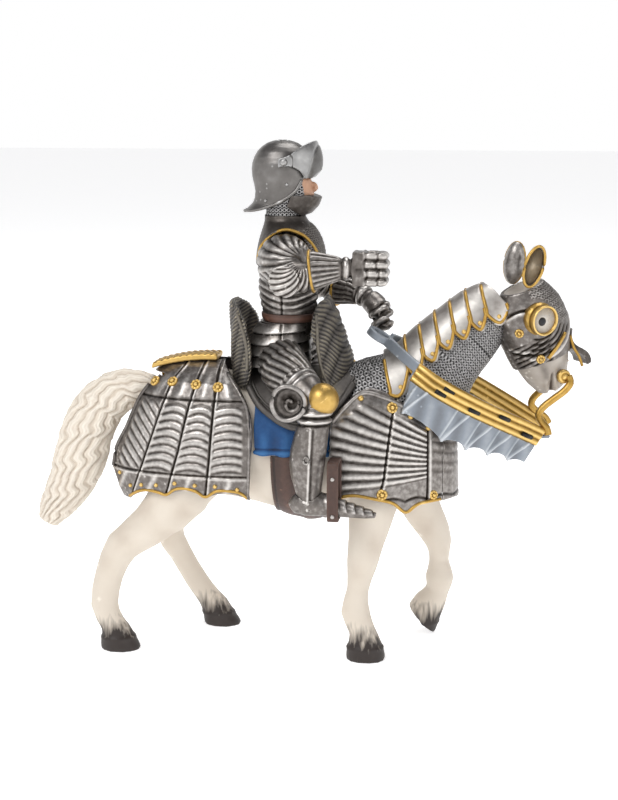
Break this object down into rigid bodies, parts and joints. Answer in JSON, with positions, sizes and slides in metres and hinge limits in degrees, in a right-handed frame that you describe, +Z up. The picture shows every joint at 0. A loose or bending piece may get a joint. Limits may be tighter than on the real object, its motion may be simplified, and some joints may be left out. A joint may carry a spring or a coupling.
{
  "type": "toy mounted knight",
  "caption": "Painted toy figure of a knight in fluted plate armour on a walking armoured white horse, with swinging arms, a lifting visor and a rider who lifts off.",
  "frame": {"origin": "on the ground, under the middle of the figure's box", "axes": "+X the way the horse walks, +Y the horse's left, +Z up"},
  "size_m": [0.1513, 0.0554, 0.1374],
  "materials": {
    "horse_coat": "painted, satin",
    "armour_silver": "metallic paint with dark wash",
    "gilt": "metallic paint",
    "mail": "metallic paint with dark wash",
    "helmet_grey": "satin metallic paint",
    "saddle_grey": "metallic paint, dry-brushed",
    "leather_brown": "painted",
    "blanket_blue": "painted",
    "rein_grey": "painted",
    "skin": "painted"
  },
  "bodies": {
    "horse": {"horse_body": "horse_coat", "right_hind_leg": "horse_coat", "left_hind_leg": "horse_coat", "right_foreleg": "horse_coat", "left_foreleg": "horse_coat", "tail": "horse_coat", "horse_head": "horse_coat", "crupper_right": "armour_silver", "crupper_left": "armour_silver", "crupper_ridge": "armour_silver", "peytral_right": "armour_silver", "peytral_left": "armour_silver", "peytral_front": "armour_silver", "chanfron": "armour_silver", "ear_right": "armour_silver", "ear_left": "armour_silver", "nasal_plate": "armour_silver", "crinet_lame_1": "armour_silver", "crinet_lame_2": "armour_silver", "crinet_lame_3": "armour_silver", "crinet_lame_4": "armour_silver", "crinet_lame_5": "armour_silver", "crinet_lame_6": "armour_silver", "crinet_lame_7": "armour_silver", "crupper_studs": "gilt", "peytral_clasps": "gilt", "eye_guard_right": "gilt", "eye_guard_left": "gilt", "neck_mail": "mail", "saddle_cantle": "saddle_grey", "saddle_pommel": "saddle_grey", "saddle_seat": "saddle_grey", "girth_strap": "leather_brown", "saddle_blanket": "blanket_blue", "rein_strap": "rein_grey", "rein_wings": "rein_grey", "bit_cheeks": "rein_grey"},
    "rider": {"torso": "armour_silver", "belt": "leather_brown", "fauld": "armour_silver", "mantle": "mail", "coif": "mail", "bevor": "armour_silver", "face": "skin", "helmet": "helmet_grey", "right_cuisse": "armour_silver", "right_knee_cop": "gilt", "right_greave": "armour_silver", "right_sabaton": "armour_silver", "right_stirrup": "leather_brown", "left_cuisse": "armour_silver", "left_knee_cop": "gilt", "left_greave": "armour_silver", "left_sabaton": "armour_silver", "left_stirrup": "leather_brown"},
    "right_arm": {"right_upper_arm": "armour_silver", "right_gauntlet": "armour_silver"},
    "left_arm": {"left_upper_arm": "armour_silver", "left_gauntlet": "armour_silver"},
    "visor": {"visor": "helmet_grey"}
  },
  "joints": [
    {"name": "rider_lift", "type": "slide", "parent": "horse", "child": "rider", "axis": [0, 0, 1], "range_m": [0, 0.06]},
    {"name": "right_shoulder", "type": "hinge", "parent": "rider", "child": "right_arm", "pos_m": [-0.0048, 0, 0.1065], "axis": [0, 1, 0], "range_deg": [-80, 35]},
    {"name": "left_shoulder", "type": "hinge", "parent": "rider", "child": "left_arm", "pos_m": [-0.0048, 0, 0.1065], "axis": [0, 1, 0], "range_deg": [-60, 0]},
    {"name": "visor_pivot", "type": "hinge", "parent": "rider", "child": "visor", "pos_m": [-0.0055, 0, 0.132], "axis": [0, 1, 0], "range_deg": [-40, 0]}
  ]
}
